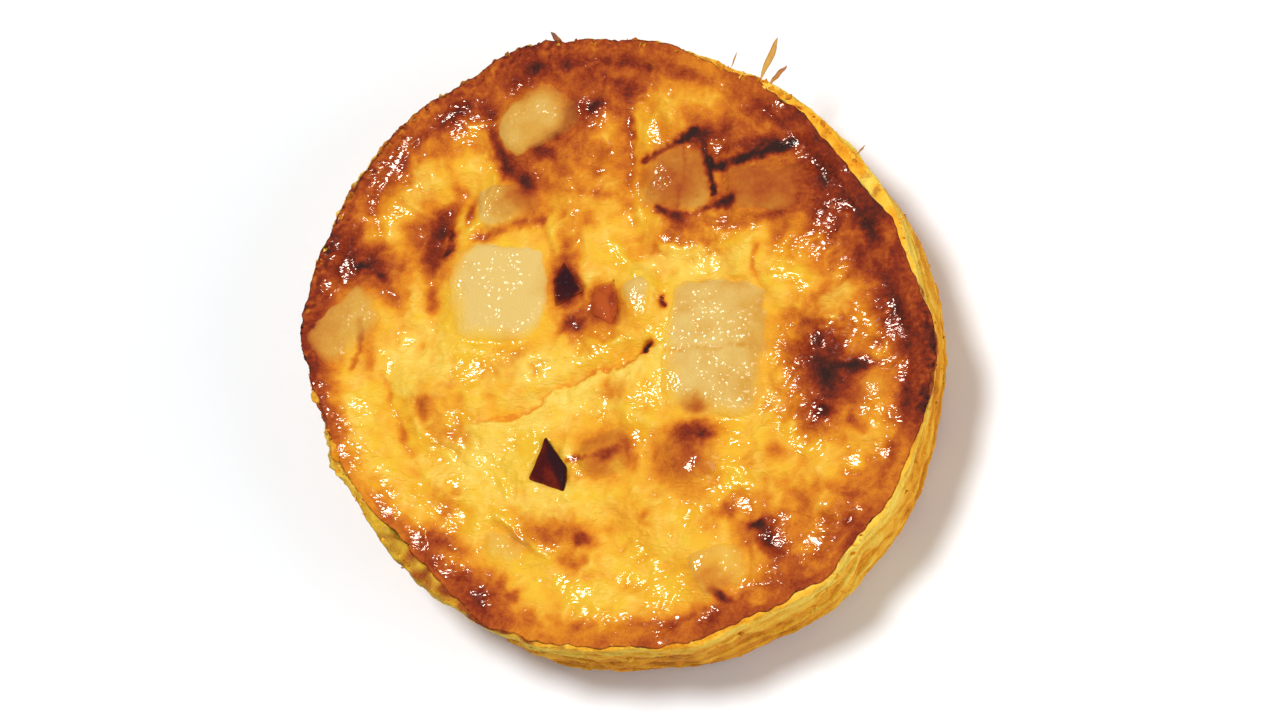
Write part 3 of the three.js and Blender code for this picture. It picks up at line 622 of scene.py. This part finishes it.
custard, column, row = grid_piece("custard_fill", SKIN_STEPS, SKIN_STEPS)
order = np.lexsort((column, row))
a = column[order] / SKIN_STEPS * 2 - 1
b = row[order] / SKIN_STEPS * 2 - 1
wide = abs(a) >= abs(b)
larger = np.where(wide, a, b)
swung = np.where(wide, b, a) / np.where(larger == 0, 1, larger) * math.pi / 4
swung = np.where(wide, swung, math.pi / 2 - swung) + np.where(larger < 0, math.pi, 0)
from_middle = abs(larger)
facing = np.degrees(swung) % 360
lip, outside, rim_top = (np.interp(facing, np.degrees(turns), values, period=360)
                         for values in (lip_radii, wall_radii[-1], wall_top))
run_over = np.interp(facing, *np.array(RUN_OVER).T, period=360)
round_rim = np.stack([np.cos(swung), np.sin(swung), swung * 0], axis=1) * RIM_ROUND
uneven = grain(round_rim, 2.2, 29) * 0.5 + grain(round_rim, 7, 30) * 0.9
uneven += grain(round_rim, 0.8, 40) * 0.4 * (run_over > 0.6)
furthest = outside + HANG + 0.3 * grain(round_rim, 1.2, 50)
edge = np.minimum(lip + SPILL + uneven + run_over * (outside - lip), furthest)
x = edge * from_middle * np.cos(swung)
y = edge * from_middle * np.sin(swung)
level = on_level(x, y)

top = top_of("custard", x, y)
top[top < LOWEST_TOP] = np.nan
dice_top = np.full(x.shape, np.nan)
for node in POTATO:
    die_top = top_of(node, x, y)
    down = np.nanmax(die_top) - die_top
    dice_top = np.fmax(dice_top, die_top + 0.8 * down * np.exp(-((down / CROWN) ** 2)))
tips = np.zeros(x.shape, bool)
for node in LARDONS:
    tips |= ~np.isnan(top_of(node, x, y))
held = ~np.isnan(dice_top)
known = ~np.isnan(top) & ~held & ~tips

around, _ = spread_out(top, known, 500)
carried, near_dice = spread_out(dice_top - DICE_SINK, held, 60)
near_dice = (2 * near_dice).clip(0, 1)
over_dice = np.fmax(np.fmax(dice_top - DICE_SINK, around - FILM_DROP), carried)
level_top = np.where(known, top, np.where(held, over_dice, around - 0.15))
climb = np.where(known, np.maximum(carried - level_top, 0) * near_dice, 0)
smooth = soften(level_top + climb, 14)

warp_x, warp_y = wander(x, y)
dark = browning(x, y)
pale = np.zeros(x.shape)
for middle_x, middle_y, half_x, half_y, strength in PALE:
    pale = np.maximum(pale, strength * patch(warp_x, warp_y, middle_x, middle_y, half_x, half_y))
wet = wetness(x, y)

creased = np.zeros(x.shape)
for depth, half_width, line in CREASES:
    away, _ = beside(warp_x, warp_y, line)
    creased += depth * np.exp(-((away / half_width) ** 2))

bent = level + np.stack([grain(level, 3, 31), grain(level, 3, 32), x * 0], axis=1) * 1.6
lumps = grain(level, 9, 33) * 0.8 + grain(bent, 4.5, 34) * 0.75
wrinkles = (1 - abs(grain(bent, 3.2, 35)) * 2) * 0.24 + (1 - abs(grain(bent, 1.8, 36)) * 2) * 0.08
inner = np.clip((1 - from_middle) / 0.03, 0, 1) * (1 - near_dice * 0.85)
skin = smooth - creased + inner * (lumps * (1 - 0.85 * wet) + wrinkles * (1 - 0.65 * wet))
away, across_tear = beside(warp_x + grain(level, 1.2, 45) * 0.5, warp_y + grain(level, 1.2, 48) * 0.5, TEAR)
flap = np.where(across_tear > 0, 1, 0) * np.exp(-((away / 3.5) ** 2))
furrow = np.exp(-(((across_tear + 0.5) / 0.6) ** 2) - (away / 1.2) ** 2)
skin += soften(0.9 * flap, 1) - 0.1 * furrow
past_lip = np.hypot(x, y) - lip
lift = rim_top + 0.05 + 0.3 * run_over - skin
near_lip = np.clip((past_lip + 4) / 3.7, 0, 1)
skin = skin + np.maximum(lift, 0) * near_lip ** 2 * (3 - 2 * near_lip)
for middle_x, middle_y, size in WET:
    pool = patch(x, y, middle_x, middle_y, size, size)
    raised = skin - (pool * skin).sum() / pool.sum()
    for off in (x - middle_x, y - middle_y):
        skin = skin - LEVELLED * pool * off * (pool * off * raised).sum() / (pool * off * off).sum()
skin = np.where(past_lip > -0.5, np.maximum(skin, rim_top + 0.05), skin)
dry = np.clip((past_lip + 2.4) / 1.6, 0, 1)
crumbly = dry * np.clip(2.2 * run_over - 1.1, 0, 1)
skin += crumbly * (grain(level, 1.1, 37) * 0.3 + grain(level, 0.6, 38) * 0.25)
sunk = soften(skin, 60) - skin
dark += crumbly * (grain(level, 1, 39) * 0.16 + grain(level, 3, 44, (0.4, 0.4, 1)) * 0.12)
# Painted shade and light: the skin is coloured browner in its hollows and paler on its ridges, as shade and
# light would fall, on top of its own browning there.
dark += np.clip(sunk, -0.4, 0.6) * 0.42 * (1 - near_dice) * (1 - np.exp(-((away / 3) ** 2)))
beside_tear = np.exp(-((away / 5) ** 2))
# Painted shadow: the skin on the low side of the tear is coloured darker, most of all in a thin line just off
# the flap's edge, where the flap shades it.
painted_flap_shadow = np.exp(-(((across_tear + 0.4) / 0.5) ** 2) - (away / 1.2) ** 2)
dark += 0.08 * beside_tear * (across_tear < 0) + 0.22 * painted_flap_shadow
# Painted shade: the skin is coloured darker along the creases.
dark += 0.15 * np.clip(creased, 0, 0.6)
# Painted light: the ridges are also given the pale colour; the flap beyond the tear is paler too.
pale = np.maximum(np.maximum(pale, 0.8 * beside_tear * (across_tear > 0)), np.clip(-sunk, 0, 0.7))
points = np.empty((len(x), 3))
points[order] = np.stack([x, y, skin], axis=1)
lay_points(custard, points)
for name, values in (("dark", dark), ("pale", pale), ("wet", wet), ("dry", dry)):
    kept = np.empty(len(x))
    kept[order] = values
    note(custard, name, kept)
bpy.ops.object.mode_set(mode="EDIT")
bpy.ops.mesh.select_mode(type="EDGE")
bpy.ops.mesh.select_all(action="SELECT")
bpy.ops.mesh.region_to_loop()
bpy.ops.mesh.extrude_edges_move(TRANSFORM_OT_translate={"value": (0, 0, -HEM_DROP * MM)})
bpy.ops.transform.resize(value=(HEM_TAPER, HEM_TAPER, 1), center_override=(0, 0, 0))
bpy.ops.mesh.extrude_edges_move()
bpy.ops.transform.resize(value=(CUSTARD_TAPER, CUSTARD_TAPER, 0),
                         center_override=(0, 0, CUSTARD_FLOOR * MM))
bpy.ops.mesh.extrude_edges_move()
bpy.ops.mesh.merge(type="CENTER")
bpy.ops.mesh.select_all(action="SELECT")
bpy.ops.mesh.normals_make_consistent(inside=False)
bpy.ops.object.mode_set(mode="OBJECT")
bpy.ops.object.shade_smooth()

SKIN_TONES = ((0, (0.83, 0.49, 0.028)), (0.2, (0.81, 0.38, 0.017)), (0.38, (0.66, 0.2, 0.008)),
              (0.54, (0.43, 0.08, 0.006)), (0.7, (0.24, 0.022, 0.003)), (0.85, (0.085, 0.009, 0.004)),
              (1, (0.024, 0.006, 0.005)))
CREAM = (0.86, 0.6, 0.09)


def skin_colour(place):
    """The colour of the custard's skin, from how browned and how pale it is at each point, with shade painted
    into its hollows, creases and beside the tear, and light on its ridges.
    """
    dark, pale = place.kept("dark"), place.kept("pale")
    coarse = place.specks(3.5, 3)
    browned = dark + (place.specks(0.5, 2) - 0.5) * (0.06 + dark * 0.27) + (coarse - 0.5) * 0.12
    streaky = pale + (coarse - 0.5) * 1.1 + (place.specks(1.5, 1) - 0.5) * 0.9
    cream = streaky.between(0.2, 1) * (1 - dark.between(0.12, 0.4))
    return cream.mix(browned.ramp(*SKIN_TONES), CREAM)


def wet_shine(place, least):
    """Where a surface is wet enough to shine: in the wet places, and here and there elsewhere."""
    shiny = place.specks(2.4, 1, 1.0) + place.kept("wet") * 0.75
    shiny = shiny - place.kept("dry") * 0.4 - place.kept("dark").between(0.75, 0.95) * 0.16
    return shiny.between(least, least + 0.04)


def puckers(place):
    """The height of the skin's fine puckers, which lie more one way than the other."""
    drawn_out = {"Vector": place, "Rotation": (0, 0, 0.6), "Scale": (0.8, 1.5, 1)}
    return place.node("ShaderNodeMapping", {}, drawn_out).specks(1.5, 0, 1.2)


custard_skin, shader, place = new_finish("custard_skin")
skin_colour(place).feed(shader, "Base Color")
wet_here = place.kept("wet")
sheen = (place.specks(4, 1) + wet_here * 0.4).between(0.35, 0.6)
sheen = sheen * (1 - place.kept("dark").between(0.1, 0.34))
place.maths("MINIMUM", DULL - sheen * 0.42, DULL - wet_shine(place, 0.66) * 0.82).feed(shader, "Roughness")
shader.inputs["Specular IOR Level"].default_value = 0.5
shader.inputs["Specular Tint"].default_value = BUTTERY
(puckers(place) * (1 - wet_here.between(0.4, 1) * 0.5)).relief(0.22 * MM).feed(shader, "Normal")
custard.data.materials.append(custard_skin)
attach(custard, "root")
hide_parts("custard")


# The potato: hand-cut dice of cooked potato, soft at the corners, that lie in the custard with their tops
# showing through a thin wet film of it. Each keeps its solid's place, and its top is laid along the skin.
PEBBLES = 0.03
FINER_LEVELS = 3
FACING_UP = 0.1
# Each die: its tone, how much of the browning it shows, how much custard lies over the whole of it, and
# the direction in degrees of its barest side.
DICE = (
    (0.02, 0.45, 0.05, 210), (0.02, 0.9, 0.05, 150), (-0.05, 0.5, 0, 45), (0.14, 0.25, 0.1, 135),
    (0.05, 0.7, 0, 60), (0.03, 0.8, 0, 0), (0.03, 0.8, 0, 290), (0.1, 0.86, 0.6, 60),
    (0.02, 1, 0.7, 0), (0.05, 0.5, 0.05, 120), (0.05, 0.6, 0.55, 180), (0.08, 0.5, 0.55, 40),
    (0.1, 0.8, 0.75, 0),
)
# How far the custard lies over a die's edge, and how far the die's face rises out of it.
COVER = 0.12
FACE = 0.1
# How far inside the case's outer wall a die ends, at its top and below it.
AT_RIM = 0.3
WITHIN_CASE = 2.2


def copied_solid(name, node, join_facets):
    """A node's solid as a new piece, with its points joined and then its facets."""
    piece = bpy.data.objects.new(name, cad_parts[node].data.copy())
    piece.data.materials.clear()
    bpy.context.collection.objects.link(piece)
    bpy.ops.object.select_all(action="DESELECT")
    piece.select_set(True)
    bpy.context.view_layer.objects.active = piece
    bpy.ops.object.mode_set(mode="EDIT")
    bpy.ops.mesh.select_all(action="SELECT")
    bpy.ops.mesh.remove_doubles(threshold=SAME_POINT)
    join_facets()
    bpy.ops.object.mode_set(mode="OBJECT")
    return piece


def made_finer(piece):
    """Splits a piece's facets into finer ones, and gives its points in millimetres and their normals."""
    finer = piece.modifiers.new("finer", "SUBSURF")
    finer.subdivision_type = "SIMPLE"
    finer.levels = FINER_LEVELS
    finer.render_levels = FINER_LEVELS
    bpy.ops.object.modifier_apply(modifier="finer")
    bpy.ops.object.shade_smooth()
    points = np.empty(len(piece.data.vertices) * 3)
    normals = np.empty(len(piece.data.vertices) * 3)
    piece.data.vertices.foreach_get("co", points)
    piece.data.vertices.foreach_get("normal", normals)
    return points.reshape(-1, 3) / MM, normals.reshape(-1, 3)


def inset(points):
    """How far each point of a piece lies inside its outline, seen from above."""
    turned = np.linspace(0, 2 * math.pi, 60, endpoint=False)
    along = points[:, :2] @ np.stack([np.cos(turned), np.sin(turned)])
    return (along.max(axis=0) - along).min(axis=1)


potato_film, shader, place = new_finish("potato_film")
fine = place.specks(0.6, 3)
coarse = place.specks(5, 3)
tone = place.kept("toast") + (fine - 0.5) * 0.1 + (coarse - 0.5) * 0.2
flesh = tone.ramp((0, (0.73, 0.5, 0.15)), (0.2, (0.63, 0.33, 0.05)), (0.38, (0.5, 0.16, 0.015)),
                  (0.54, (0.4, 0.08, 0.008)), (0.7, (0.23, 0.022, 0.004)), (0.85, (0.08, 0.009, 0.004)),
                  (1, (0.024, 0.006, 0.005)))
place.kept("film").mix(flesh, skin_colour(place)).feed(shader, "Base Color")
dots = place.specks(6, 1).between(0.42, 0.5) * place.specks(0.7, 0).between(0.63, 0.67)
dots = dots * (1 - tone.between(0.15, 0.3))
(DULL - place.maths("MAXIMUM", dots * 0.75, wet_shine(place, 0.8) * 0.83)).feed(shader, "Roughness")
shader.inputs["Specular IOR Level"].default_value = 0.5
shader.inputs["Specular Tint"].default_value = BUTTERY
pebbled = place.specks(0.6, 0, 0.3) * 0.6 + puckers(place) * 0.4
(pebbled * (1 - place.kept("wet").between(0.6, 1) * 0.6)).relief(0.18 * MM).feed(shader, "Normal")
skin_solid = BVHTree.FromObject(custard, bpy.context.evaluated_depsgraph_get())
for k, (node, (own_tone, browned, film, bare)) in enumerate(zip(POTATO, DICE)):
    die = copied_solid(f"die_{k + 1}", node, bpy.ops.mesh.tris_convert_to_quads)
    points, normals = made_finer(die)
    upper = normals[:, 2] > FACING_UP
    turned = np.degrees(np.arctan2(points[:, 1], points[:, 0]))
    within = np.interp(turned, np.degrees(turns), wall_radii[-1], period=360)
    within = within - np.where(upper, AT_RIM, WITHIN_CASE)
    points[:, :2] *= np.minimum(1, within / np.hypot(points[:, 0], points[:, 1]))[:, None]
    deep = inset(points) + grain(points, 2.4, 41, (1, 1, 0)) * 0.8 + grain(points, 6, 43, (1, 1, 0)) * 1.2
    skin_over = np.array([height_of(skin_solid, *point[:2]) for point in points])
    face = skin_over - COVER + (COVER + FACE) * np.clip(deep / 1.2, 0, 1) + grain(points, 0.8, 42) * PEBBLES
    points[:, 2] = np.where(upper & ~np.isnan(skin_over), face, points[:, 2])
    lay_points(die, points)
    die_dark = browning(points[:, 0], points[:, 1])
    note(die, "dark", die_dark)
    note(die, "pale", die_dark * 0)
    note(die, "wet", wetness(points[:, 0], points[:, 1]))
    note(die, "toast", own_tone + browned * die_dark)
    from_die = points - points.mean(axis=0)
    covered = (1 - np.cos(np.arctan2(from_die[:, 1], from_die[:, 0]) - math.radians(bare))) / 2
    note(die, "film", np.maximum(film, 1 - np.clip((deep - 0.3) / (0.6 + 3.6 * covered), 0, 1)))
    die.data.materials.append(potato_film)
    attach(die, "root")
    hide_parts(node)


# The lardons: small shards of smoked pork, fried dark red and shiny, that stick out of the custard with
# sharp corners and flat faces, or lie just under its skin.
BEVEL = 0.35 * MM
# Each lardon: how dark it is, and the share of its height that stands out of the skin.
TIPS = ((0.95, 0.3), (0.1, 0.2), (0.8, 1))
# Facets at less than this angle to each other are one flat face.
ONE_FACE = math.radians(3)


def join_flat_facets():
    """Joins the facets of the piece in hand that lie in one flat face."""
    bpy.ops.mesh.dissolve_limited(angle_limit=ONE_FACE)


lardon_red, shader, place = new_finish("lardon_red")
fine = place.specks(0.8, 3, 0.5)
meat = place.kept("char_and_shade") + (fine - 0.5) * 0.3
meat = meat.ramp((0, (0.46, 0.08, 0.014)), (0.35, (0.24, 0.022, 0.008)), (0.7, (0.07, 0.005, 0.005)),
                 (1, (0.026, 0.005, 0.009)))
place.kept("film").mix(meat, skin_colour(place)).feed(shader, "Base Color")
(0.9 - fine.between(0.6, 0.64) * 0.8).feed(shader, "Roughness")
shader.inputs["Specular IOR Level"].default_value = 0.2
shader.inputs["Specular Tint"].default_value = BUTTERY
place.specks(1.6, 1, 0.8).relief(0.2 * MM).feed(shader, "Normal")
for k, (node, (darkness, standing)) in enumerate(zip(LARDONS, TIPS)):
    tip = copied_solid(f"lardon_tip_{k + 1}", node, join_flat_facets)
    edges = tip.modifiers.new("edges", "BEVEL")
    edges.width = BEVEL
    edges.segments = 2
    bpy.ops.object.modifier_apply(modifier="edges")
    points, normals = made_finer(tip)
    points = points + normals * (grain(points, 2.2, 51) * 0.25)[:, None]
    deep = inset(points) + grain(points, 1.2, 53) * 0.25
    skin_over = np.array([height_of(skin_solid, *point[:2]) for point in points])
    above = points[:, 2] - skin_over
    points[:, 2] = np.where(above > 0, skin_over + standing * above, points[:, 2])
    lay_points(tip, points)
    tip_dark = browning(points[:, 0], points[:, 1]) + 0.1
    note(tip, "dark", tip_dark)
    note(tip, "pale", tip_dark * 0)
    note(tip, "film", (1 - standing) * (1 - np.clip((deep - 0.1) / 0.8, 0, 1)))
    # Painted shade and light: facets turned one way are coloured darker and those turned the other way
    # lighter, on top of each lardon's own char.
    note(tip, "char_and_shade", darkness + grain(points, 3, 52) * 0.2 + normals @ (0.4, 0.3, 0))
    tip.data.materials.append(lardon_red)
    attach(tip, "root")
    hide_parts(node)


# The crumbs: grains and flakes that broke off the dough and baked on to the lip and the wall. One grain is
# modelled and laid many times, each at its own size and turn, all in one piece.
CRUMBS = 420
crumb_dice = np.random.default_rng(5)
bpy.ops.mesh.primitive_ico_sphere_add(subdivisions=1, radius=1)
grit = bpy.context.object
grit.name = "crumbs"
corners = np.array([v.co for v in grit.data.vertices])
faces = np.array([p.vertices for p in grit.data.polygons])
laid, shades, browns = [], [], []
for _ in range(CRUMBS):
    spot_angle = crumb_dice.normal(125, 55) if crumb_dice.random() < 0.6 else crumb_dice.uniform(0, 360)
    at = int(spot_angle % 360 / 360 * CASE_STEPS)
    on_edge = abs(spot_angle - 125) < 90 or crumb_dice.random() < 0.3
    up_row = WALL_ROWS - 1 if on_edge else int(crumb_dice.integers(8, WALL_ROWS - 4))
    far = wall_radii[up_row, at] + (crumb_dice.uniform(-1, 0.2) if on_edge else crumb_dice.uniform(-0.1, 0.3))
    lifted = wall_heights[up_row, at] + (0.2 if on_edge else 0)
    size = crumb_dice.gamma(2, 0.12) + 0.12
    shape = corners * crumb_dice.uniform(0.3, 1.4, (len(corners), 1)) * crumb_dice.uniform(0.4, 1.5, 3) * size
    turned = Matrix.Rotation(crumb_dice.uniform(0, 6.28), 3, crumb_dice.normal(size=3))
    laid.append(shape @ np.array(turned).T + ways[at] * far + (0, 0, lifted))
    shades.append(np.full(len(corners), crumb_dice.uniform(0.1, 0.8)))
    burnt = bell(spot_angle, 120, 48) + bell(spot_angle, 178, 14) * 0.8 + bell(spot_angle, -6, 9)
    browns.append(np.full(len(corners), burnt * crumb_dice.uniform(0.6, 1.2)))
all_faces = (faces[None] + np.arange(CRUMBS)[:, None, None] * len(corners)).reshape(-1, 3)
heap = bpy.data.meshes.new("crumbs")
heap.from_pydata((np.concatenate(laid) * MM).tolist(), [], all_faces.tolist())
grit.data = heap
note(grit, "bake_and_shade", np.concatenate(shades))
note(grit, "toast", np.concatenate(browns))
note(grit, "damp", np.concatenate(browns) * 0)
grit.data.materials.append(baked_pastry)
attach(grit, "root")


# The herbs: dry blades and hairs of herb, baked into the rim at one end and sticking out of it. Each is a
# narrow tube, flat and widest past its middle.
# Each blade: direction in degrees, how deep it is set, length, width, turn and lift in degrees, and tone.
HERBS = (
    (61.5, 0.9, 10, 1.4, 4, 14, 0.3), (60, 0.9, 6.2, 1.0, -16, 10, 0.6),
    (100.5, 0.9, 4.6, 1.1, 30, 24, 0.8), (68, 0.4, 4, 0.35, 0, 12, 0.5),
    (37.5, 0.8, 3.6, 0.4, -2, 16, 0.55), (103, 6, 7, 0.9, 6, 4, 0.1),
)
BLADE_SIDES = 8
BLADE_ROWS = 14
dry_herb, shader, place = new_finish("dry_herb")
straw = place.kept("straw") + (place.specks(1.2, 2) - 0.5) * 0.4
straw.ramp((0, (0.72, 0.45, 0.1)), (0.35, (0.62, 0.3, 0.035)), (0.7, (0.4, 0.12, 0.014)),
           (1, (0.16, 0.035, 0.01))).feed(shader, "Base Color")
shader.inputs["Roughness"].default_value = 0.55
for k, (at, inside, length, width, turn, lift, shade) in enumerate(HERBS):
    blade, column, row = grid_piece(f"herb_{k + 1}", BLADE_SIDES, BLADE_ROWS)
    along = row / BLADE_ROWS
    round_it = column / BLADE_SIDES * 2 * math.pi
    step = int(round(at % 360 / 360 * CASE_STEPS))
    way = math.radians(at + turn)
    rise = math.radians(lift)
    forward = np.array([math.cos(way) * math.cos(rise), math.sin(way) * math.cos(rise), math.sin(rise)])
    sideways = np.array([-math.sin(way), math.cos(way), 0])
    upright = np.cross(forward, sideways)
    root = ways[step] * (wall_radii[-1, step] - inside) + (0, 0, wall_top[step] - 0.9)
    half = width / 2 * np.sin(math.pi * along ** 1.3) ** 0.8
    bow = grain(along[:, None] * (4, 0, 0), 1, 60 + k) * 0.3
    middle = root + forward * (length * along)[:, None] + sideways * bow[:, None]
    points = (middle + sideways * (half * np.cos(round_it))[:, None]
              + upright * (half * 0.4 * np.sin(round_it))[:, None])
    lay_points(blade, points)
    note(blade, "straw", shade + 0.3 * (along - 0.5))
    close_seams()
    blade.data.materials.append(dry_herb)
    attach(blade, "root")
